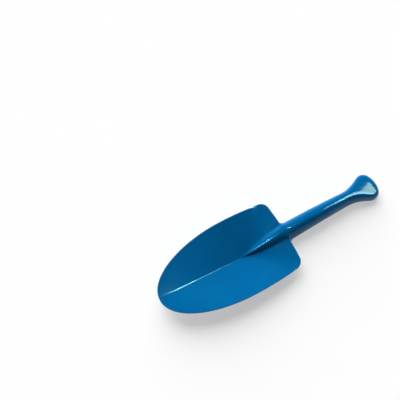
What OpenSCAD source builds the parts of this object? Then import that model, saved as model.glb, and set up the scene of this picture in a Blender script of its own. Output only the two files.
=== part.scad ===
// Sand shovel: a V-shaped blade with a sloping back wall and a hollow handle.
// One moulding, divided into named regions that meet face to face.
// It lies as on a table: heel and grip end touch z = 0, the tip points to -X.
// Places along the shovel are distances from the tip.

/* [Overall] */
// Overall length, from the tip to the end of the grip
total_len = 248; // [220:1:290]
// Wall thickness of the blade, measured upright
blade_wall = 2; // [1.4:0.1:3]
// Wall thickness of the handle
grip_wall = 2; // [1.4:0.1:2.8]

/* [Blade] */
// Length of the blade, from the tip to the rear corners
blade_len = 141; // [125:1:160]
// Distance from the tip to the widest place
nose_len = 88.8; // [60:0.2:100]
// Greatest width of the blade
blade_w = 82.4; // [60:0.1:110]
// Width at the rear corners before they are rounded
rear_w = 75; // [56:0.5:90]
// Width of the short straight edge at the very tip
tip_w = 1; // [0.6:0.1:6]
// Radius of the two rear corners
corner_r = 8; // [3:0.5:14]
// Distance by which the rear edge bows back at the handle
rear_bow = 1.3; // [0:0.1:6]

/* [Pan] */
// Distance from the tip to the heel, the lowest point of the keel
keel_len = 91; // [75:1:105]
// Height of the inside of the tip above the table
tip_z = 17; // [8:0.2:26]
// Height of the inside of the rear edge above the table
rear_z = 12.5; // [6:0.1:15]
// Angle at which the wings rise from the keel at the tip
front_rise = 4.8; // [0:0.1:10]
// Angle at which the wings rise from the keel at the rear
rear_rise = 23.1; // [12:0.1:30]
// Distance from the tip to the place on the middle plane where the back wall starts
wall_at = 103; // [96:1:118]
// Height over which the keel levels out at the heel
keel_soft = 0.7; // [0.2:0.1:2]
// Height over which the fold between wings and back wall is softened at the keel
fold_soft = 1; // [0.4:0.1:2]
// Height over which that fold is softened at the rear edge
fold_rear_soft = 6; // [1:0.5:8]

/* [Handle] */
// Width of the handle where it leaves the blade
root_w = 19; // [14:0.1:26]
// Extra width on each side at the blade's rear edge, lost again in front of it and behind it
root_spread = 2.5; // [0:0.1:4]
// Length over which that extra width is lost, each way
spread_len = 5; // [2:0.5:16]
// Width of the handle at its neck, before the flare
neck_w = 14.4; // [11:0.1:20]
// Height of the handle's back above the table
back_top_z = 16.9; // [14:0.1:24]
// Distance from the tip to the place where the back starts to fall
back_top_at = 157; // [148:1:180]
// Height over which the ridge's crest is softened where it meets the back
crest_soft = 1.5; // [0.4:0.1:3]
// Height of the arch under the handle, which starts where the back wall does
arch_z = 4; // [1:0.1:6]
// Distance from the tip to the top of that arch
arch_at = 171; // [155:1:190]

/* [Grip end] */
// Length of the flared end, from the neck to its far edge
flare_len = 36; // [28:1:58]
// Width of the flared end
end_w = 28.4; // [20:0.2:40]
// Height of the flared end
end_z = 8.8; // [6.5:0.1:12]
// Length of the flat edge on which the flared end rests
foot_len = 12; // [6:0.5:24]
// Distance by which the end bows out in plan
end_bow = 4.3; // [0:0.1:9]
// Radius of the end's two corners in plan
end_corner_r = 4.5; // [3:0.1:6]
// Rounding of the top edge at the end
end_round = 2.2; // [0.5:0.1:4]

/* [Ribs] */
// Number of cross ribs inside the handle
rib_count = 4; // [1:1:6]
// Thickness of one rib
rib_wall = 1.5; // [0.8:0.1:3]
// Distance by which the ribs stop short of the handle's lower edges
rib_recess = 1.5; // [0.5:0.1:4]

/* [Hidden] */
plastic = [0, 0.4, 0.66];

// Steps of the curves, as counts
front_steps = 15;
rear_steps = 10;
corner_steps = 5;
side_columns = 9;
root_steps = 9;
spread_steps = 3;
grip_steps = 12;
flare_steps = 12;
end_steps = 6;
arc_steps = 22;

// Shape numbers without a size
ridge_power = 1.8;
round_power = 2.9;
flat_power = 6;
fall_power = 2.3;
root_power = 1.6;
flare_power = 1.2;
first_ring_share = 0.03;

// Overrun of every cut, and the least half width of the hollow
over = 1;
hollow_min = 1;

rear_at = blade_len + rear_bow;
neck_at = total_len - flare_len;
end_at = total_len - end_corner_r;
foot_at = total_len - foot_len;
rib_first_at = rear_at + (neck_at - rear_at) / (2 * rib_count);
rib_pitch = (neck_at - rear_at) / rib_count;

function mix(a, b, share) = a + (b - a) * share;
function limit(share) = min(max(share, 0), 1);
function ease(share) = let (u = limit(share)) u * u * (3 - 2 * u);
function part_way(at, from, to) = (at - from) / (to - from);

// The larger or smaller of two heights, with a soft change over the height soft
function soft_max(a, b, soft) = max(a, b) + pow(max(soft - abs(a - b), 0), 2) / (4 * soft);
function soft_min(a, b, soft) = -soft_max(-a, -b, soft);

// Outline of the blade: an elliptical nose, then a slow taper to the rear corners
function nose_half(at) =
    mix(tip_w, blade_w, sqrt(1 - pow(1 - at / nose_len, 2))) / 2;
function side_half(at) =
    mix(blade_w, rear_w, pow(part_way(at, nose_len, blade_len), 2)) / 2;
function corner_cut(at) =
    let (reach = max(at - blade_len + corner_r, 0))
    corner_r - sqrt(max(corner_r * corner_r - reach * reach, 0));
function blade_half(at) = at < nose_len ? nose_half(at) : side_half(at) - corner_cut(at);

// Inside surface of the pan: two wings that rise from the keel, and the back wall.
// The keel slopes down to the heel and is level behind it, but the rims go on as they were.
function slope_z(at) = mix(tip_z, blade_wall, at / keel_len);
function keel_z(at) = soft_max(slope_z(at), blade_wall, keel_soft);
function wing_rise(at) =
    mix(tan(front_rise), tan(rear_rise), at / blade_len)
    + (slope_z(at) - keel_z(at)) / side_half(at);
function wing_z(at, y) = keel_z(at) + wing_rise(at) * abs(y);
function wall_z(at) = mix(blade_wall, rear_z, part_way(at, wall_at, rear_at));
function wall_soft(at) =
    mix(fold_soft, fold_rear_soft, max(part_way(at, keel_len, rear_at), 0));
function pan_z(at, y) = soft_max(wing_z(at, y), wall_z(at), wall_soft(at));

// Places where the pan's cross lines stand, closer together at the nose and corners
blade_places = concat(
    [for (i = [0 : front_steps]) keel_len * (1 - cos(90 * i / front_steps))],
    [for (i = [1 : rear_steps]) mix(keel_len, blade_len - corner_r, i / rear_steps)],
    [for (i = [1 : corner_steps]) blade_len - corner_r + corner_r * sin(90 * i / corner_steps)]
);

// One cross line of the pan, from the right rim to the left rim
function pan_line(at, drop) = [
    for (j = [-side_columns : side_columns])
        let (
            across = j / side_columns,
            bow = rear_bow * (1 - across * across) * ease(part_way(at, keel_len, blade_len)),
            y = across * blade_half(at),
            place = at + bow
        )
        [place - total_len / 2, y, pan_z(place, y) - drop]
];

// Height of the handle's back: the ridge's crest first, then the falling back
function crest_z(at) = mix(blade_wall, back_top_z, part_way(at, keel_len, rear_at));
function fall(at) = pow(limit(part_way(at, back_top_at, total_len)), fall_power);
function back_z(at) = soft_min(crest_z(at), mix(back_top_z, end_z, fall(at)), crest_soft);

// Height of the handle's lower edges: an arch between the back wall's start and the foot
function arch_side(at) = at < arch_at ? wall_at : foot_at;
function base_z(at) = max(arch_z * (1 - pow(part_way(at, arch_at, arch_side(at)), 2)), 0);

// Half width of the handle: a ridge that widens inside the pan, a slow taper, then the flare
function flare(at) = ease(pow(limit(part_way(at, neck_at, end_at)), flare_power));
function spread(at) = root_spread * pow(1 - limit(abs(at - rear_at) / spread_len), 2);
function ridge_half(at) =
    root_w / 2 * (1 - pow(1 - part_way(at, keel_len, rear_at), root_power));
function handle_half(at) =
    at < rear_at ? ridge_half(at) + spread(at)
    : at < neck_at ? mix(root_w, neck_w, part_way(at, rear_at, neck_at)) / 2 + spread(at)
    : mix(neck_w, end_w, flare(at)) / 2;

// How square the handle's arc is: round on the ridge, fuller on the handle, squarer in the flare
function fullness(at) =
    mix(ridge_power, round_power, pow(limit(part_way(at, keel_len, arch_at)), 2));
function arc_power(at) = mix(fullness(at), flat_power, flare(at));

// One cross-section: a flat base under an arc that turns squarer in the flare.
// inset moves it inwards, depth carries the sides down, turn rounds the end off.
function section(at, inset, depth, turn = 0) =
    let (
        corner = end_corner_r - inset,
        place = at + corner * sin(turn),
        half = handle_half(at) - inset - corner * (1 - cos(turn)),
        low = base_z(at),
        high = back_z(place) - inset - end_round * (1 - cos(turn)) - low,
        power = 2 / arc_power(at),
        bow = end_bow * pow(flare(at) / (end_w / 2), 2),
        arc = [
            for (i = [0 : arc_steps])
                let (angle = 180 * i / arc_steps)
                [
                    half * sign(cos(angle)) * pow(abs(cos(angle)), power),
                    low + high * pow(sin(angle), power)
                ]
        ],
        spare = depth > 0 ? 0 : 1,
        base = [for (i = [arc_steps - spare : -1 : spare]) [arc[i][0], low - depth]]
    )
    [for (p = concat(arc, base)) [place - bow * p[0] * p[0] - total_len / 2, p[0], p[1]]];

// Rings along a stretch of the handle, along its root, and the rings that round its end off
function stretch(from, to, steps, inset = 0, depth = 0, first = 0) =
    [for (i = [first : steps]) section(mix(from, to, i / steps), inset, depth)];
function root_rings(from, inset = 0, depth = 0) = concat(
    stretch(from, rear_at - spread_len, root_steps, inset, depth),
    stretch(rear_at - spread_len, rear_at, spread_steps, inset, depth, 1)
);
function end_rings(inset = 0, depth = 0) =
    [for (i = [1 : end_steps]) section(end_at, inset, depth, 90 * i / end_steps)];

// Triangles that close a ring: a strip between its outgoing and its returning half
function cap(count) = [
    for (k = [0 : count / 2 - 1])
        let (back = count - k)
        each concat(
            k + 1 < back - 1 ? [[k, k + 1, back - 1]] : [],
            k > 0 ? [[k, back - 1, back]] : []
        )
];

// A solid through a row of rings with equally many points, closed at both ends
module skin_rings(rings) {
    count = len(rings[0]);
    last = len(rings) - 1;
    sides = [
        for (r = [0 : last - 1])
            for (i = [0 : count - 1])
                let (a = r * count + i, b = r * count + (i + 1) % count)
                each [[a, b + count, b], [a, a + count, b + count]]
    ];
    far_cap = [for (f = cap(count)) [for (i = [2 : -1 : 0]) last * count + f[i]]];
    polyhedron(points = [for (ring = rings) each ring], faces = concat(sides, cap(count), far_cap));
}

// The whole pan as one closed sheet, before the handle's root is cut out of it
module pan_sheet() {
    rings = [
        for (at = blade_places)
            let (low = pan_line(at, blade_wall), high = pan_line(at, 0))
            concat(low, [for (j = [len(high) - 1 : -1 : 0]) high[j]])
    ];
    skin_rings(rings);
}

module root_body() {
    from = mix(keel_len, rear_at, first_ring_share);
    skin_rings(root_rings(from));
}

// The hollow of the handle, open underneath
module hollow() {
    share = 1 - pow(1 - (grip_wall + hollow_min) / (root_w / 2), 1 / root_power);
    start = mix(keel_len, rear_at, share);
    skin_rings(concat(
        root_rings(start, grip_wall, over),
        stretch(rear_at, neck_at, grip_steps, grip_wall, over, 1),
        stretch(neck_at, end_at, flare_steps, grip_wall, over, 1),
        end_rings(grip_wall, over)
    ));
}

module blade_pan() {
    color(plastic) difference() {
        pan_sheet();
        root_body();
    }
}

module handle_root() {
    color(plastic) difference() {
        root_body();
        hollow();
    }
}

module grip_shell() {
    color(plastic) difference() {
        skin_rings(stretch(rear_at, neck_at, grip_steps));
        hollow();
    }
}

module grip_end() {
    color(plastic) difference() {
        skin_rings(concat(stretch(neck_at, end_at, flare_steps), end_rings()));
        hollow();
    }
}

// Cross ribs: slabs across the handle, trimmed to the hollow
module grip_ribs() {
    color(plastic) intersection() {
        hollow();
        for (i = [0 : rib_count - 1]) {
            at = rib_first_at + i * rib_pitch;
            translate([at - total_len / 2 - rib_wall / 2, -root_w / 2, base_z(at) + rib_recess])
                cube([rib_wall, root_w, back_top_z]);
        }
    }
}

blade_pan();
handle_root();
grip_shell();
grip_end();
grip_ribs();
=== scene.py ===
"""Sand shovel: one glossy blue moulding, lying on a white table.

Lengths are metres. The shovel lies as on a table: its tip points to -X, its heel and the
lower edge of its grip end touch z = 0. "at" is a distance from the tip along the shovel.
"""

import math

import bmesh
import bpy
import numpy as np
from mathutils import Matrix, Vector


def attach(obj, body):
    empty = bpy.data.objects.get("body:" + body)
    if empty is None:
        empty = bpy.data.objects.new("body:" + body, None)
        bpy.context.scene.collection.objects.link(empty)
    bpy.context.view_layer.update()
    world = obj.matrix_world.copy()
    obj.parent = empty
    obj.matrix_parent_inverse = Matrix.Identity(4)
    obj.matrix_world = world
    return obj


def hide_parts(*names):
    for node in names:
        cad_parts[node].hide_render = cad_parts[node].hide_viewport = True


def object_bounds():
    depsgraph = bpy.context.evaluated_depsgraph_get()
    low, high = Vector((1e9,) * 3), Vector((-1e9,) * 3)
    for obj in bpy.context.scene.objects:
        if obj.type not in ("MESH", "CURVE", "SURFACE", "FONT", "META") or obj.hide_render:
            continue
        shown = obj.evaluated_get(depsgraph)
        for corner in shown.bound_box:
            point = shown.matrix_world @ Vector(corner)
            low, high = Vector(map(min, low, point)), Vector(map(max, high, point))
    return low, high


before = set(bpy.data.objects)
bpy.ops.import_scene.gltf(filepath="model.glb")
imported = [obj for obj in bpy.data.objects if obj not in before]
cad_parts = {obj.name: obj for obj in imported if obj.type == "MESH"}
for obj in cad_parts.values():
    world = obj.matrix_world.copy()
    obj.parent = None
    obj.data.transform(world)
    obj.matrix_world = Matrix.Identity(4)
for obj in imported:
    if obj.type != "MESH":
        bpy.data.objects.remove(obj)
cad_low, cad_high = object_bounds()

# Overall length and walls

TOTAL_LEN = cad_high.x - cad_low.x
BLADE_WALL = 0.002
GRIP_WALL = 0.002

# Blade in plan

BLADE_LEN = 0.141
NOSE_LEN = 0.0888
BLADE_W = 0.0824
REAR_W = 0.075
TIP_W = 0.001
CORNER_R = 0.008
REAR_BOW = 0.0013

# Heights, rises and soft folds of the pan

KEEL_LEN = 0.091
TIP_Z = 0.017
REAR_Z = 0.0125
FRONT_RISE = math.tan(math.radians(4.8))
REAR_RISE = math.tan(math.radians(23.1))
WALL_AT = 0.103
KEEL_SOFT = 0.0007
FOLD_SOFT = 0.001
FOLD_REAR_SOFT = 0.006

# Ridge and handle

ROOT_W = 0.019
ROOT_SPREAD = 0.0025
SPREAD_LEN = 0.005
NECK_W = 0.0144
BACK_TOP_Z = 0.0169
BACK_TOP_AT = 0.157
CREST_SOFT = 0.0015
ARCH_Z = 0.004
ARCH_AT = 0.171

# Grip end

FLARE_LEN = 0.036
END_W = 0.0284
END_Z = 0.0088
FOOT_LEN = 0.012
END_BOW = 0.0043
END_CORNER_R = 0.0045

# Cross ribs

RIB_COUNT = 4
RIB_WALL = 0.0015
RIB_RECESS = 0.0015
RIB_SIDES = 72
RIB_SINK = 0.0003
RIB_WELD = 0.000001
RIB_EDGE_R = 0.0002
RIB_EDGE_STEPS = 2
RIB_EDGE_TURN = math.radians(50)

# Powers of cross-sections, where 2 is an ellipse and more is boxier, and of curves along the handle

RIDGE_POWER = 1.8
ROUND_POWER = 2.4
FLAT_POWER = 5.5
FALL_POWER = 2.3
ROOT_POWER = 1.6
FLARE_POWER = 1.2

# Rounded edges, rounded crease, and the fillet from pan to ridge

RIM_R = 0.0005
LOWER_EDGE_R = 0.0004
CREASE_SOFT = 0.0009
CREASE_ZONE = 0.0025
FILLET_NOSE = 0.0005
FILLET_REAR = 0.002
FILLET_LEAST = 0.00001
FILLET_FULL_AT = 0.125
SIDE_FALL = 20

# Corner between the blade's rear edge and the handle, and the stretches where it is looked for

JUNCTION_R = 0.0022
JUNCTION_SINK = 0.0008
JUNCTION_END_AT = 0.1475
JUNCTION_REACH = 0.012
JUNCTION_SPAN = 0.008

# Hidden laps of blade and handle, the start of the hollow, and shares of a thin wall

SEAM_LAP = 0.0006
SEAM_SINK = 0.0003
SEAM_EASE = 0.03
FIN_SINK = 0.0008
NOSE_CUT = 0.0004
HOLLOW_FROM = 0.1025
HOLLOW_FULL = 0.1065
WALL_SHARE = 0.6
EDGE_SHARE = 1 / 3

# Places on the spine that face marks of the blade's outline

SPINE_PLACES = [
    0.012,  # tip
    0.03,  # a third of the nose's rows
    0.09,  # widest place
    0.116,  # start of the corner
    0.124,  # end of the corner
    0.139,  # end of the rear edge
    0.1445,  # end of the junction
]

# Places on the spine that face marks of the grip end's outline

FAN_AT = 0.226
FAN_PLACES = [
    FAN_AT,  # start of the fan of cross lines
    0.2345,  # start of the corner
    0.2362,  # end of the corner
    0.2365,  # middle of the far edge
]

# Counts of rows along the outline

NOSE_STEPS = 60
NOSE_MARK = NOSE_STEPS // 3
SIDE_STEPS = 36
CORNER_STEPS = 12
REAR_STEPS = 24
JUNCTION_STEPS = 12
ROOT_STEPS = 44
SPREAD_STEPS = 10
GRIP_STEPS = 56
FAN_STEPS = 16
END_CORNER_STEPS = 12
END_EDGE_STEPS = 12

# Counts of columns across each line

SEAM_COLUMNS = 2
FILLET_COLUMNS = 16
WING_COLUMNS = 36
UNDER_COLUMNS = 24
RIM_STEPS = 4
OUTER_COLUMNS = 44
INNER_COLUMNS = 32

# How closely rows and columns stand where the shape bends

NOSE_CROWDING = 1.25
ROOT_CROWDING = 1.3
WING_CROWDING = 1.15
BEND_LEN = 0.003
TIP_TURN = 0.02

# Shares of a cross line of the blade between which its fillet lies

LEAVE_MOST = 0.94
SETTLE_GAP = 0.02
SETTLE_MOST = 0.97
CREASE_MOST = 0.4

# How finely places are searched, and lengths that count as none

SHARE_TRIES = 1500
PLACE_TRIES = 400
ARCH_POINTS = 400
WELD = 0.000002
HALF_LEAST = 0.000001
TINY = 1e-12

# Places worked out from the sizes

REAR_AT = BLADE_LEN + REAR_BOW
NECK_AT = TOTAL_LEN - FLARE_LEN
END_AT = TOTAL_LEN - END_CORNER_R
FOOT_AT = TOTAL_LEN - FOOT_LEN
ROOT_HALF = ROOT_W / 2 + ROOT_SPREAD
QUARTER_TURN = math.pi / 2


# Shape rules of the moulding


def mix(a, b, share):
    return a + (b - a) * share


def ease(share):
    u = np.clip(share, 0, 1)
    return u * u * (3 - 2 * u)


def part_way(at, start, end):
    return (at - start) / (end - start)


def soft_max(a, b, soft):
    return np.maximum(a, b) + np.maximum(soft - np.abs(a - b), 0) ** 2 / (4 * soft)


def soft_min(a, b, soft):
    return -soft_max(-a, -b, soft)


def side_half(at):
    """Half width of the blade behind its nose."""
    return mix(BLADE_W, REAR_W, part_way(at, NOSE_LEN, BLADE_LEN) ** 2) / 2


def pan_z(at, y):
    """Height of the pan's inside: two wings that rise from a rounded keel, and the back wall."""
    slope = mix(TIP_Z, BLADE_WALL, at / KEEL_LEN)
    keel = soft_max(slope, BLADE_WALL, KEEL_SOFT)
    rise = mix(FRONT_RISE, REAR_RISE, at / BLADE_LEN) + (slope - keel) / side_half(at)
    across = np.sqrt(y * y + CREASE_SOFT**2) - CREASE_SOFT
    wall = mix(BLADE_WALL, REAR_Z, part_way(at, WALL_AT, REAR_AT))
    soft = mix(FOLD_SOFT, FOLD_REAR_SOFT, np.maximum(part_way(at, KEEL_LEN, REAR_AT), 0))
    return soft_max(keel + rise * across, wall, soft)


def flare(at):
    """0 at the handle's neck, 1 at the grip end."""
    return ease(np.clip(part_way(at, NECK_AT, END_AT), 0, 1) ** FLARE_POWER)


def handle_half(at):
    """Half width of the handle: a blunt nose inside the pan, a slow taper, then the flare."""
    nose_share = np.clip(part_way(at, KEEL_LEN, REAR_AT), 0, 1)
    nose = ROOT_W / 2 * (1 - (1 - nose_share) ** ROOT_POWER)
    spread = ROOT_SPREAD * (1 - np.clip(np.abs(at - REAR_AT) / SPREAD_LEN, 0, 1)) ** 2
    taper = mix(ROOT_W, NECK_W, np.clip(part_way(at, REAR_AT, NECK_AT), 0, 1)) / 2
    behind = np.where(at < NECK_AT, taper + spread, mix(NECK_W, END_W, flare(at)) / 2)
    return np.where(at < REAR_AT, nose + spread, behind)


def back_z(at):
    """Height of the handle's back: the ridge's rising crest, then the falling back."""
    crest = mix(BLADE_WALL, BACK_TOP_Z, part_way(at, KEEL_LEN, REAR_AT))
    fall = np.clip(part_way(at, BACK_TOP_AT, TOTAL_LEN), 0, 1) ** FALL_POWER
    return soft_min(crest, mix(BACK_TOP_Z, END_Z, fall), CREST_SOFT)


def base_z(at):
    """Height of the handle's lower edges: an arch between the heel and the grip end's foot."""
    side = np.where(at < ARCH_AT, WALL_AT, FOOT_AT)
    return np.maximum(ARCH_Z * (1 - part_way(at, ARCH_AT, side) ** 2), 0)


def power(at):
    """Power of the handle's cross-section: a ridge, then round, then flat at the grip end."""
    grown = np.clip(part_way(at, KEEL_LEN, ARCH_AT), 0, 1) ** 2
    return mix(mix(RIDGE_POWER, ROUND_POWER, grown), FLAT_POWER, flare(at))


def bowed_x(at, y):
    """The grip end's cross-sections bow towards its far edge."""
    bow = END_BOW * (flare(at) / (END_W / 2)) ** 2
    return at - bow * y * y - TOTAL_LEN / 2


# Outlines in plan, as (at, y) rows, and the spine points that face them


def steps(count, crowding=1.0):
    """Shares from 0 to 1, closer together at the start where crowding is above 1."""
    return np.linspace(0, 1, count + 1) ** crowding


def inward(path):
    """Unit plan normals towards the material, for a path from the tip round to the rear."""
    step = np.gradient(path, axis=0)
    step /= np.linalg.norm(step, axis=1)[:, None]
    return np.stack([step[:, 1], -step[:, 0]], 1)


def side_of_handle(at, level):
    """Half width of the handle's skin at a height."""
    low = base_z(at)
    share = np.clip((level - low) / (back_z(at) - low), 0, 1)
    return handle_half(at) * (1 - share ** power(at)) ** (1 / power(at))


def rear_edge(y):
    """Place of the blade's bowed rear edge."""
    across = y / (REAR_W / 2 - CORNER_R)
    return BLADE_LEN + REAR_BOW * (1 - across**2)


def junction_arc():
    """Arc that rounds the corner between the blade's rear edge and the handle's side."""
    at = np.linspace(BLADE_LEN, BLADE_LEN + JUNCTION_REACH, PLACE_TRIES)
    side = side_of_handle(at, pan_z(at, ROOT_HALF) - BLADE_WALL / 2)
    tries = np.linspace(side[0], side[0] + JUNCTION_SPAN, PLACE_TRIES)
    reach = []
    for y in tries:
        gap = np.hypot(at - rear_edge(y) - JUNCTION_R, side - y)
        reach.append((gap.min(), gap.argmin()))
    best = int(np.argmin([abs(gap - JUNCTION_R) for gap, _ in reach]))
    centre = np.array([rear_edge(tries[best]) + JUNCTION_R, tries[best]])
    touch = np.array([at[reach[best][1]], side[reach[best][1]]])
    turn = math.atan2(touch[1] - centre[1], touch[0] - centre[0]) % (2 * math.pi)
    angles = mix(math.pi, turn, steps(JUNCTION_STEPS))
    arc = centre + JUNCTION_R * np.stack([np.cos(angles), np.sin(angles)], 1)
    ahead = arc[-1] - arc[-2]
    inside = arc[-1] + ahead / np.linalg.norm(ahead) * JUNCTION_SINK
    return np.concatenate([arc, [inside]])


def blade_rows():
    """The blade's outline from the tip to its junction with the handle, and its spine points."""
    turn = steps(NOSE_STEPS, NOSE_CROWDING) * QUARTER_TURN
    tip = TIP_W / 2 * (1 - np.exp(-turn / TIP_TURN))
    nose_y = tip + (BLADE_W - TIP_W) / 2 * np.sin(turn)
    nose = np.stack([NOSE_LEN * (1 - np.cos(turn)), nose_y], 1)
    at = mix(NOSE_LEN, BLADE_LEN - CORNER_R, steps(SIDE_STEPS)[1:])
    side = np.stack([at, side_half(at)], 1)
    turn = steps(CORNER_STEPS)[1:] * QUARTER_TURN
    at = BLADE_LEN - CORNER_R * (1 - np.sin(turn))
    corner = np.stack([at, side_half(at) - CORNER_R * (1 - np.cos(turn))], 1)
    junction = junction_arc()
    y = mix(corner[-1, 1], junction[0, 1], steps(REAR_STEPS)[1:-1])
    rear = np.stack([rear_edge(y), y], 1)
    outline = np.concatenate([nose, side, corner, rear, junction])
    marks = [0, NOSE_MARK]
    marks += list(np.cumsum([NOSE_STEPS, SIDE_STEPS, CORNER_STEPS, REAR_STEPS]))
    marks += [len(outline) - 1]
    spine = np.interp(np.arange(len(outline)), marks, SPINE_PLACES)
    return outline, spine


def end_rows():
    """The grip end's outline from its flare round to the middle of its far edge, with spine points."""
    at = mix(FAN_AT, END_AT, steps(FAN_STEPS))
    side = np.stack([at, handle_half(at)], 1)
    turn = steps(END_CORNER_STEPS)[1:] * QUARTER_TURN
    far = END_W / 2 - END_CORNER_R
    corner = np.stack([END_AT + END_CORNER_R * np.sin(turn), far + END_CORNER_R * np.cos(turn)], 1)
    y = mix(far, 0, steps(END_EDGE_STEPS)[1:])
    edge = np.stack([np.full(len(y), TOTAL_LEN), y], 1)
    outline = np.concatenate([side, corner, edge])
    marks = [0, FAN_STEPS, FAN_STEPS + END_CORNER_STEPS, len(outline) - 1]
    return outline, np.interp(np.arange(len(outline)), marks, FAN_PLACES)


# Mesh tools


def add_object(name, data):
    """An object in the scene's own collection."""
    thing = bpy.data.objects.new(name, data)
    bpy.context.scene.collection.objects.link(thing)
    return thing


class Shell:
    """Collects closed bands of points for one half, and mirrors them to the other half."""

    def __init__(self):
        self.points = []
        self.wear = []
        self.faces = []

    def add(self, grid, wear):
        """Adds a rows x columns x 3 grid, its wear and its quads; returns its points' numbers."""
        rows, columns = grid.shape[:2]
        numbers = np.arange(rows * columns).reshape(rows, columns) + len(self.points)
        self.points += [tuple(p) for p in grid.reshape(-1, 3)]
        self.wear += list(np.broadcast_to(wear, (rows, columns)).reshape(-1))
        corners = [numbers[:-1, :-1], numbers[1:, :-1], numbers[1:, 1:], numbers[:-1, 1:]]
        self.faces += [tuple(q) for q in np.stack(corners, -1).reshape(-1, 4)]
        return numbers

    def strip(self, first, second):
        """Quads between two lines of points, left out where they lie on the middle plane."""
        for a, b, c, d in zip(first[:-1], first[1:], second[1:], second[:-1]):
            if max(abs(self.points[i][1]) for i in (a, b, c, d)) > WELD:
                self.faces.append((a, b, c, d))

    def close_line(self, line):
        """Quads between the first and the second half of one closed cross line."""
        half = len(line) // 2
        self.strip(line[:half], line[::-1][:half])

    def mesh(self, name):
        """Both halves as one mesh, welded along the middle, its faces pointing outwards."""
        points = np.array(self.points)
        count = len(points)
        both = np.concatenate([points, points * [1, -1, 1]])
        faces = self.faces + [tuple(i + count for i in reversed(f)) for f in self.faces]
        data = bpy.data.meshes.new(name)
        data.from_pydata(both, [], [tuple(int(i) for i in f) for f in faces])
        layer = data.attributes.new("edge_wear", "FLOAT", "POINT")
        layer.data.foreach_set("value", np.array(self.wear * 2, np.float32))
        build = bmesh.new()
        build.from_mesh(data)
        bmesh.ops.remove_doubles(build, verts=build.verts, dist=WELD)
        bmesh.ops.dissolve_degenerate(build, dist=WELD, edges=build.edges)
        bmesh.ops.recalc_face_normals(build, faces=build.faces)
        build.to_mesh(data)
        build.free()
        data.polygons.foreach_set("use_smooth", [True] * len(data.polygons))
        data.update()
        return data


def cross_lines(section, spine, outline, inner):
    """A closed line from each spine point out to the outline and back, by a section's rule."""
    starts = np.stack([spine, np.zeros(len(spine))], 1)
    return np.array([section(*ends) for ends in zip(starts, outline, inner)])


def three_d(plan, z):
    """Points from plan places and heights, bowed as the grip end is."""
    return np.stack([bowed_x(plan[..., 0], plan[..., 1]), plan[..., 1], z], -1)


def spread_evenly(line, count, bend_len):
    """Resamples a line of points, closer together where it bends."""
    step = np.linalg.norm(np.diff(line, axis=0), axis=1) + TINY
    ways = np.diff(line, axis=0) / step[:, None]
    turns = np.arccos(np.clip((ways[1:] * ways[:-1]).sum(1), -1, 1))
    turns = np.concatenate([[0], turns])
    sums = np.concatenate([[0], np.cumsum(step + bend_len * turns)])
    places = np.linspace(0, sums[-1], count)
    return np.stack([np.interp(places, sums, line[:, k]) for k in range(3)], 1)


# The blade: a wall of even thickness, with a fillet up to the ridge


def ridge_z(at, y):
    """Height of the handle's skin over a plan place, falling steeply outside its sides."""
    half = np.maximum(handle_half(at), HALF_LEAST)
    low = base_z(at)
    share = np.minimum(np.abs(y) / half, 1)
    skin = low + (back_z(at) - low) * (1 - share ** power(at)) ** (1 / power(at))
    return skin - np.maximum(np.abs(y) - half, 0) * SIDE_FALL


def fillet(at):
    """Height over which blade and ridge blend: small at the ridge's nose, gone behind the blade."""
    grown = mix(FILLET_NOSE, FILLET_REAR, ease(part_way(at, KEEL_LEN, FILLET_FULL_AT)))
    return np.maximum(grown * (1 - ease(part_way(at, REAR_AT, JUNCTION_END_AT))), FILLET_LEAST)


def blade_top(at, y):
    """Height of the blade's upper skin: the pan, blended into the ridge."""
    return np.where(at < KEEL_LEN, pan_z(at, y), soft_max(pan_z(at, y), ridge_z(at, y), fillet(at)))


def over_pan(at, y):
    """Where the ridge stands clear above the pan."""
    return (at > KEEL_LEN) & (ridge_z(at, y) - pan_z(at, y) > fillet(at))


def near_ridge(at, y):
    """Where the fillet or the ridge still lifts the pan."""
    return (at > KEEL_LEN) & (pan_z(at, y) - ridge_z(at, y) < fillet(at))


def inside_handle(at, y):
    """Where the pan's underside is hidden inside the handle's skin."""
    return y < side_of_handle(at, pan_z(at, y) - BLADE_WALL) - FIN_SINK


def first_share(start, end, test):
    """Share of a plan line after which a test no longer holds, or 1 where it always holds."""
    shares = np.linspace(0, 1, SHARE_TRIES)
    line = start + shares[:, None] * (end - start)
    holds = test(line[:, 0], line[:, 1])
    return 1.0 if holds.all() else shares[np.argmin(holds)]


def top_line(start, rim):
    """Plan points and heights along the blade's top, and whether they start under the ridge's skin.

    The first columns are hidden in the ridge, the next lie on the fillet, the rest on the wing.
    """
    span = np.linalg.norm(rim - start)
    leave = min(first_share(start, rim, over_pan), LEAVE_MOST)
    settle = max(first_share(start, rim, near_ridge), min(CREASE_ZONE / span, CREASE_MOST))
    settle = min(max(settle, leave + SETTLE_GAP), SETTLE_MOST)
    hidden = [max(leave - SEAM_LAP / span, 0), max(leave - SEAM_LAP / span / 2, 0)]
    drops = [SEAM_SINK * (leave - share) * span / SEAM_LAP for share in hidden]
    drops[1] *= SEAM_EASE if hidden[1] > 0 else 1
    shares = np.concatenate([
        hidden,
        mix(leave, settle, steps(FILLET_COLUMNS)),
        mix(settle, 1, steps(WING_COLUMNS, WING_CROWDING)[1:]),
    ])
    plan = start + shares[:, None] * (rim - start)
    z = blade_top(plan[:, 0], plan[:, 1])
    z[:SEAM_COLUMNS] -= drops
    return plan, z, hidden[0] > 0


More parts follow.
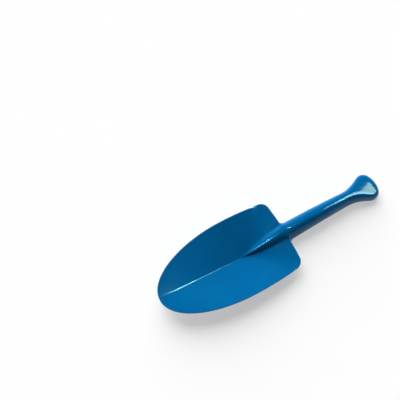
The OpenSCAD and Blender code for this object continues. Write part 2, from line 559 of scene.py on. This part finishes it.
def blade_section(start, end, inner):
    """One closed cross line of the blade: along the top, round the rim, back underneath."""
    rim = end + inner * RIM_R
    top, top_z, covered = top_line(start, rim)
    turn = steps(RIM_STEPS)[1:] * QUARTER_TURN
    over = rim - np.sin(turn)[:, None] * RIM_R * inner
    over_z = blade_top(over[:, 0], over[:, 1]) - RIM_R * (1 - np.cos(turn))
    back = over[::-1]
    back_level = pan_z(back[:, 0], back[:, 1]) - BLADE_WALL + RIM_R * (1 - np.cos(turn[::-1]))
    under_end = first_share(start, rim, inside_handle) if covered else 0
    under = start + mix(1, under_end, steps(UNDER_COLUMNS))[:, None] * (rim - start)
    under_z = pan_z(under[:, 0], under[:, 1]) - BLADE_WALL
    plan = np.concatenate([top, over, back, under])
    z = np.concatenate([top_z, over_z, back_level, under_z])
    return np.stack([plan[:, 0] - TOTAL_LEN / 2, plan[:, 1], z], 1)


def add_blade(shell):
    """Adds the blade, with wear on its rim, closed at the keel and inside the handle."""
    outline, spine = blade_rows()
    inner = inward(outline)
    inner[0] = [1, 0]
    grid = cross_lines(blade_section, spine, outline, inner)
    grid[0, :, 1] = 0
    rim = SEAM_COLUMNS + FILLET_COLUMNS + WING_COLUMNS
    wear = np.zeros(grid.shape[1])
    wear[rim : rim + 2 * RIM_STEPS + 2] = 1
    numbers = shell.add(grid, wear)
    shell.strip(numbers[:, 0], numbers[:, -1])
    shell.close_line(numbers[-1])


# The handle: a hollow arch from the ridge's nose to the grip end


def handle_rows():
    """Outline and spine points of the whole handle, from the ridge's nose to the far edge."""
    at = np.concatenate([
        mix(KEEL_LEN + NOSE_CUT, REAR_AT, steps(ROOT_STEPS, ROOT_CROWDING)),
        mix(REAR_AT, REAR_AT + SPREAD_LEN, steps(SPREAD_STEPS)[1:]),
        mix(REAR_AT + SPREAD_LEN, FAN_AT, steps(GRIP_STEPS)[1:-1]),
    ])
    outline, spine = end_rows()
    outline = np.concatenate([np.stack([at, handle_half(at)], 1), outline])
    return outline, np.concatenate([at, spine])


def arch_profile(start, end, thickness, lift, share):
    """Fine arch over a plan line, from its crown down to a small height above the lower edge."""
    bend = 2 / power(end[0])
    angles = np.linspace(QUARTER_TURN, 0, ARCH_POINTS)
    plan = start + (np.cos(angles) ** bend)[:, None] * (end - start)
    low = base_z(plan[:, 0])
    z = low + share * (back_z(plan[:, 0]) - thickness - low) * np.sin(angles) ** bend
    keep = z >= low + lift * share
    keep[0] = True
    return three_d(plan, z)[keep] if share > 0 else three_d(plan, z)


def handle_section(start, end, inner):
    """One closed cross line of the handle: down the outside, along the lower edge, up inside."""
    half = np.linalg.norm(end - start)
    wall = min(GRIP_WALL, half * WALL_SHARE)
    edge = min(LOWER_EDGE_R, wall * EDGE_SHARE)
    hollow = float(ease(part_way(start[0], HOLLOW_FROM, HOLLOW_FULL)))
    outer = spread_evenly(arch_profile(start, end, 0, edge, 1), OUTER_COLUMNS, BEND_LEN)
    skin = arch_profile(start, end + inner * wall, wall, edge, hollow)[::-1]
    skin = spread_evenly(skin, INNER_COLUMNS, BEND_LEN)
    turn = steps(RIM_STEPS) * QUARTER_TURN
    out = np.concatenate([edge * (1 - np.cos(turn)), wall - edge * (1 - np.cos(turn[::-1]))])
    rise = np.concatenate([edge * (1 - np.sin(turn)), hollow * edge * (1 - np.sin(turn[::-1]))])
    plan = end + out[:, None] * inner
    foot = three_d(plan, base_z(plan[:, 0]) + rise)
    return np.concatenate([outer[:-1], foot, skin[1:]])


def add_handle(shell):
    """Adds the handle, with wear on its lower edge, closed at the ridge's nose."""
    outline, spine = handle_rows()
    inner = inward(outline)
    inner[0] = inner[1]
    inner[-1] = [-1, 0]
    grid = cross_lines(handle_section, spine, outline, inner)
    grid[-1, :, 1] = 0
    edge = OUTER_COLUMNS - 1
    wear = np.zeros(grid.shape[1])
    wear[edge : edge + 2 * RIM_STEPS + 1] = 1
    numbers = shell.add(grid, wear)
    shell.close_line(numbers[0])


def moulding(name):
    """Blade, ridge and handle as one continuous shell."""
    shell = Shell()
    add_blade(shell)
    add_handle(shell)
    return add_object(name, shell.mesh(name))


shovel_shell = moulding("shovel_shell")


# Node trees


class Socket:
    """Wraps an output socket, so that an expression on values adds its Math nodes."""

    def __init__(self, tree, out):
        self.tree = tree
        self.out = out

    def beside(self, name):
        """Another output of the same node."""
        return Socket(self.tree, self.out.node.outputs[name])

    def __add__(self, other):
        return self.tree.maths("ADD", self, other)

    def __radd__(self, other):
        return self.tree.maths("ADD", other, self)

    def __sub__(self, other):
        return self.tree.maths("SUBTRACT", self, other)

    def __rsub__(self, other):
        return self.tree.maths("SUBTRACT", other, self)

    def __mul__(self, other):
        return self.tree.maths("MULTIPLY", self, other)

    def __rmul__(self, other):
        return self.tree.maths("MULTIPLY", other, self)

    def __pow__(self, other):
        return self.tree.maths("POWER", self, other)

    def __rpow__(self, other):
        return self.tree.maths("POWER", other, self)


class Tree:
    """Builds nodes in one tree: type, settings first, then the values or links of its sockets."""

    def __init__(self, tree):
        self.tree = tree

    def node(self, kind, settings=None, inputs=None, output=0):
        """A list as an input's value links every socket in it; the chosen output comes back."""
        node = self.tree.nodes.new(kind)
        for name, value in (settings or {}).items():
            setattr(node, name, value)
        for name, value in (inputs or {}).items():
            if isinstance(value, (Socket, list)):
                self.link(value, node.inputs[name])
            else:
                node.inputs[name].default_value = value
        return Socket(self, node.outputs[output]) if node.outputs else node

    def link(self, given, socket):
        for one in given if isinstance(given, list) else [given]:
            self.tree.links.new(one.out, socket)

    def maths(self, operation, *values):
        return self.node("ShaderNodeMath", {"operation": operation}, dict(enumerate(values)))


def material_tree(name):
    material = bpy.data.materials.new(name)
    material.use_nodes = True
    material.node_tree.nodes.clear()
    return material, Tree(material.node_tree)


def mix_colour(tree, share, first, second):
    inputs = {"Factor": share, "A": first, "B": second}
    return tree.node("ShaderNodeMix", {"data_type": "RGBA"}, inputs, "Result")


def noise(tree, place, scale, detail, roughness):
    inputs = {"Vector": place, "Scale": scale, "Detail": detail, "Roughness": roughness}
    return tree.node("ShaderNodeTexNoise", inputs=inputs)


def band(tree, value, low, high):
    """0 below low, 1 above high, smooth in between."""
    inputs = {"Value": value, "From Min": low, "From Max": high}
    return tree.node("ShaderNodeMapRange", {"interpolation_type": "SMOOTHSTEP"}, inputs)


# Blue plastic, moulded and polished

PLASTIC_DEEP = (0.0, 0.116, 0.318, 1)
PLASTIC_PALE = (0.0, 0.13, 0.348, 1)
WORN_EDGE = (0.004, 0.15, 0.39, 1)
PLASTIC_IOR = 1.49
SPECULAR_LEVEL = 0.3
SPECULAR_TINT = (0.3, 0.92, 1.0, 1.0)

# Its patterns, each with its scale, detail and roughness

CLOUDS = (28.0, 3.0, 0.55)
GRAIN = (2600.0, 2.0, 0.6)
RIPPLES = (90.0, 1.0, 0.4)
PATCHES = (260.0, 3.0, 0.6)
SCUFFS = (1.0, 4.0, 0.65)
SCUFF_STRETCH = (60.0, 900.0, 400.0)

# Where a pattern starts to show, and where it shows fully

CLOUD_BAND = (0.3, 0.7)
PATCH_BAND = (0.42, 0.7)
SCUFF_BAND = (0.62, 0.74)

# How much each pattern adds to colour, roughness and height

WORN_COLOUR = 0.5
PLAIN_ROUGH = 0.065
CLOUD_ROUGH = 0.03
SCUFF_ROUGH = 0.04
WORN_ROUGH = 0.1
RIPPLE_HEIGHT = 0.6
GRAIN_HEIGHT = 0.05
BUMP_STRENGTH = 0.12
BUMP_DEPTH = 0.0002


def blue_plastic():
    """Polish with faint clouds, lengthwise scuffs, a moulding ripple and patchy wear on the rims."""
    material, tree = material_tree("blue_plastic_polished")
    place = tree.node("ShaderNodeTexCoord", output="Object")
    clouds = noise(tree, place, *CLOUDS)
    grain = noise(tree, place, *GRAIN)
    ripples = noise(tree, place, *RIPPLES)
    patches = band(tree, noise(tree, place, *PATCHES), *PATCH_BAND)
    drawn_out = tree.node("ShaderNodeMapping", inputs={"Vector": place, "Scale": SCUFF_STRETCH})
    scuffs = band(tree, noise(tree, drawn_out, *SCUFFS), *SCUFF_BAND)
    edges = tree.node("ShaderNodeAttribute", {"attribute_name": "edge_wear"}, output="Fac")
    worn = edges * patches
    colour = mix_colour(tree, band(tree, clouds, *CLOUD_BAND), PLASTIC_DEEP, PLASTIC_PALE)
    colour = mix_colour(tree, worn * WORN_COLOUR, colour, WORN_EDGE)
    rough = clouds * CLOUD_ROUGH + scuffs * SCUFF_ROUGH + worn * WORN_ROUGH + PLAIN_ROUGH
    height = ripples * RIPPLE_HEIGHT + grain * GRAIN_HEIGHT
    relief = {"Strength": BUMP_STRENGTH, "Distance": BUMP_DEPTH, "Height": height}
    finish = {
        "Base Color": colour,
        "Roughness": rough,
        "IOR": PLASTIC_IOR,
        "Specular IOR Level": SPECULAR_LEVEL,
        "Specular Tint": SPECULAR_TINT,
        "Normal": tree.node("ShaderNodeBump", inputs=relief),
    }
    surface = tree.node("ShaderNodeBsdfPrincipled", inputs=finish)
    tree.node("ShaderNodeOutputMaterial", inputs={"Surface": surface})
    return material


plastic = blue_plastic()
shovel_shell.data.materials.append(plastic)
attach(shovel_shell, "root")
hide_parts("blade_pan", "handle_root", "grip_shell", "grip_end")


# Cross ribs inside the handle, stood on points along it

RIB_INPUTS = {
    "Geometry": "NodeSocketGeometry",
    "Rib wall": "NodeSocketFloat",
    "Arch bend": "NodeSocketFloat",
    "Arch points": "NodeSocketInt",
    "Plastic": "NodeSocketMaterial",
}


def rib_tree():
    """Stands one arched plate on every point, as wide and as high as the point says."""
    group = bpy.data.node_groups.new("cross_rib_rows", "GeometryNodeTree")
    for name, kind in RIB_INPUTS.items():
        group.interface.new_socket(name, in_out="INPUT", socket_type=kind)
    group.interface.new_socket("Geometry", in_out="OUTPUT", socket_type="NodeSocketGeometry")
    tree = Tree(group)
    points = tree.node("NodeGroupInput", output="Geometry")
    wall = points.beside("Rib wall")
    bend = points.beside("Arch bend")
    disc = {"Vertices": points.beside("Arch points"), "Radius": 1.0}
    ring = tree.node("GeometryNodeMeshCircle", {"fill_type": "NGON"}, disc)
    place = tree.node("GeometryNodeInputPosition")
    across = tree.node("ShaderNodeSeparateXYZ", inputs={"Vector": place}, output="X")
    rise = across.beside("Y")
    width = tree.maths("SIGN", across) * tree.maths("ABSOLUTE", across) ** bend
    height = tree.maths("MAXIMUM", rise, 0.0) ** bend
    spot = tree.node("ShaderNodeCombineXYZ", inputs={"X": wall * -0.5, "Y": width, "Z": height})
    front = tree.node("GeometryNodeSetPosition", inputs={"Geometry": ring, "Position": spot})
    depth = tree.node("ShaderNodeCombineXYZ", inputs={"X": wall})
    pull = {"Mesh": front, "Offset": depth}
    pulled = tree.node("GeometryNodeExtrudeMesh", {"mode": "FACES"}, pull)
    turned = tree.node("GeometryNodeFlipFaces", inputs={"Mesh": front})
    plate = tree.node("GeometryNodeJoinGeometry", inputs={"Geometry": [pulled, turned]})
    weld = {"Geometry": plate, "Distance": RIB_WELD}
    plate = tree.node("GeometryNodeMergeByDistance", inputs=weld)
    vector = {"data_type": "FLOAT_VECTOR"}
    size = tree.node("GeometryNodeInputNamedAttribute", vector, {"Name": "rib_size"})
    stand = {"Points": points, "Instance": plate, "Scale": size}
    stood = tree.node("GeometryNodeInstanceOnPoints", inputs=stand)
    solid = tree.node("GeometryNodeRealizeInstances", inputs={"Geometry": stood})
    dress = {"Geometry": solid, "Material": points.beside("Plastic")}
    dressed = tree.node("GeometryNodeSetMaterial", inputs=dress)
    tree.node("NodeGroupOutput", inputs={"Geometry": dressed})
    return group


def rib_points(name, at):
    """One point at the foot of each rib, with the rib's size as its attribute."""
    low = base_z(at) + RIB_RECESS
    half = handle_half(at) - GRIP_WALL + RIB_SINK
    high = back_z(at) - GRIP_WALL + RIB_SINK - low
    points = bpy.data.meshes.new(name)
    points.from_pydata([(x, 0, z) for x, z in zip(at - TOTAL_LEN / 2, low)], [], [])
    sizes = points.attributes.new("rib_size", "FLOAT_VECTOR", "POINT")
    sizes.data.foreach_set("vector", np.stack([np.ones(len(at)), half, high], 1).ravel())
    return points


def cross_ribs(name):
    """Ribs across the hollow handle, as one plain mesh."""
    pitch = (NECK_AT - REAR_AT) / RIB_COUNT
    at = REAR_AT + pitch * (np.arange(RIB_COUNT) + 0.5)
    ribs = add_object(name, rib_points(name, at))
    rows = ribs.modifiers.new("rows", "NODES")
    rows.node_group = rib_tree()
    given = {
        "Rib wall": RIB_WALL,
        "Arch bend": float(2 / power(at.mean())),
        "Arch points": RIB_SIDES,
        "Plastic": plastic,
    }
    for item in rows.node_group.interface.items_tree:
        if item.in_out == "INPUT" and item.name in given:
            rows[item.identifier] = given[item.name]
    edges = ribs.modifiers.new("edges", "BEVEL")
    edges.width = RIB_EDGE_R
    edges.segments = RIB_EDGE_STEPS
    edges.angle_limit = RIB_EDGE_TURN
    view = bpy.context.evaluated_depsgraph_get()
    solid = bpy.data.meshes.new_from_object(ribs.evaluated_get(view), depsgraph=view)
    ribs.modifiers.clear()
    solid.materials.clear()
    solid.materials.append(plastic)
    solid.polygons.foreach_set("material_index", [0] * len(solid.polygons))
    ribs.data = solid
    return ribs


ribs = cross_ribs("cross_ribs")
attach(ribs, "root")
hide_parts("grip_ribs")


# Table: a matt tone that takes the shadow, and a glow that makes up the rest of its white

WHITE = 1.0
TABLE_TONE = 0.58
TABLE_LEVEL = 0.95
TABLE_HALF = 30.0
TABLE_DROP = 0.0001


def white_table():
    material, tree = material_tree("white_table")
    camera_ray = tree.node("ShaderNodeLightPath", output="Is Camera Ray")
    seen = tree.maths("MAXIMUM", camera_ray, camera_ray.beside("Is Glossy Ray"))
    seen = tree.maths("MAXIMUM", seen, camera_ray.beside("Is Transmission Ray"))
    tone = {"Color": (TABLE_TONE, TABLE_TONE, TABLE_TONE, 1)}
    matt = tree.node("ShaderNodeBsdfDiffuse", inputs=tone)
    lift = {"Strength": seen * (WHITE - TABLE_TONE * TABLE_LEVEL)}
    glow = tree.node("ShaderNodeEmission", inputs=lift)
    both = tree.node("ShaderNodeAddShader", inputs={0: matt, 1: glow})
    tree.node("ShaderNodeOutputMaterial", inputs={"Surface": both})
    return material


def table_top(name):
    """One large square, a hair below the shovel's feet."""
    corners = [(-1, -1), (1, -1), (1, 1), (-1, 1)]
    corners = [(x * TABLE_HALF, y * TABLE_HALF, -TABLE_DROP) for x, y in corners]
    mesh = bpy.data.meshes.new(name)
    mesh.from_pydata(corners, [], [(0, 1, 2, 3)])
    mesh.materials.append(white_table())
    return add_object(name, mesh)


table = table_top("table")


# Key: a broad, low light from the shovel's left, which the polish doesn't mirror

KEY_AZIMUTH = math.radians(72)
KEY_ELEVATION = math.radians(28.5)
KEY_SOFTNESS = math.radians(70)
KEY_LEVEL = 1.8


def key_light(name):
    """The level is what a white surface that faces the light gives back."""
    data = bpy.data.lights.new(name, "SUN")
    data.angle = KEY_SOFTNESS
    data.energy = KEY_LEVEL * math.pi
    flat = math.cos(KEY_ELEVATION)
    way = (math.cos(KEY_AZIMUTH) * flat, math.sin(KEY_AZIMUTH) * flat, math.sin(KEY_ELEVATION))
    key = add_object(name, data)
    key.rotation_euler = Vector(way).to_track_quat("Z", "Y").to_euler()
    key.visible_glossy = False


key_light("key")


# Softboxes: level panels above the table that only the polish shows


def softbox(name, middle, length, width, turn, radiance, colour):
    data = bpy.data.lights.new(name, "AREA")
    data.shape = "RECTANGLE"
    data.size = length
    data.size_y = width
    data.energy = radiance * math.pi * length * width
    data.color = colour
    panel = add_object(name, data)
    panel.location = middle
    panel.rotation_euler = (0, 0, math.radians(turn))
    panel.visible_camera = False
    panel.visible_diffuse = False


softbox(
    "crease_box",
    middle=(0.136, 0.11, 1.1),
    length=0.086,
    width=0.05,
    turn=0,
    radiance=220.0,
    colour=(1, 1, 1),
)
softbox(
    "crease_end_box",
    middle=(0.037, 0.064, 0.35),
    length=0.078,
    width=0.016,
    turn=0,
    radiance=46.0,
    colour=(1, 1, 1),
)
softbox(
    "ridge_box",
    middle=(-0.77, 0.465, 1.5),
    length=0.12,
    width=0.5,
    turn=0,
    radiance=50.0,
    colour=(0.85, 1, 1),
)
softbox(
    "handle_box",
    middle=(1.113, -0.338, 1.5),
    length=0.57,
    width=1.2,
    turn=28,
    radiance=42.0,
    colour=(1, 0.62, 0.6),
)
softbox(
    "grip_end_box",
    middle=(1.643, -0.056, 1.5),
    length=0.63,
    width=1.2,
    turn=28,
    radiance=31.0,
    colour=(1, 0.56, 0.34),
)


# Studio: a white horizon under a dim ceiling

HORIZON = 1.0
CEILING = 0.04
DIM_BAND = (0.1, 0.3)


def studio():
    world = bpy.data.worlds.new("studio")
    world.use_nodes = True
    world.node_tree.nodes.clear()
    tree = Tree(world.node_tree)
    way = tree.node("ShaderNodeTexCoord", output="Generated")
    rise = tree.node("ShaderNodeSeparateXYZ", inputs={"Vector": way}, output="Z")
    level = HORIZON - band(tree, rise, *DIM_BAND) * (HORIZON - CEILING)
    glow = tree.node("ShaderNodeBackground", inputs={"Color": (1, 1, 1, 1), "Strength": level})
    tree.node("ShaderNodeOutputWorld", inputs={"Surface": glow})
    return world


bpy.context.scene.world = studio()
bpy.context.scene.view_settings.view_transform = "Standard"


# Camera: the focal length is in pixels of the square photograph, the sensor in millimetres

CAMERA_AT = Vector((-0.048, -0.11, 0.4367))
CAMERA_RIGHT = Vector((0.8741, -0.4509, -0.1806))
CAMERA_DOWN = Vector((-0.4855, -0.7987, -0.3555))
FOCAL_PIXELS = 432.5
PHOTO_PIXELS = 400
SENSOR = 36.0
CLIP_START = 0.01


def photo_camera(name):
    data = bpy.data.cameras.new(name)
    data.sensor_width = SENSOR
    data.lens = FOCAL_PIXELS / PHOTO_PIXELS * SENSOR
    data.clip_start = CLIP_START
    camera = add_object(name, data)
    right = CAMERA_RIGHT.normalized()
    back = right.cross(-CAMERA_DOWN).normalized()
    up = back.cross(right)
    turned = Matrix((right, up, back)).transposed().to_4x4()
    camera.matrix_world = Matrix.Translation(CAMERA_AT) @ turned
    return camera


bpy.context.scene.camera = photo_camera("camera")
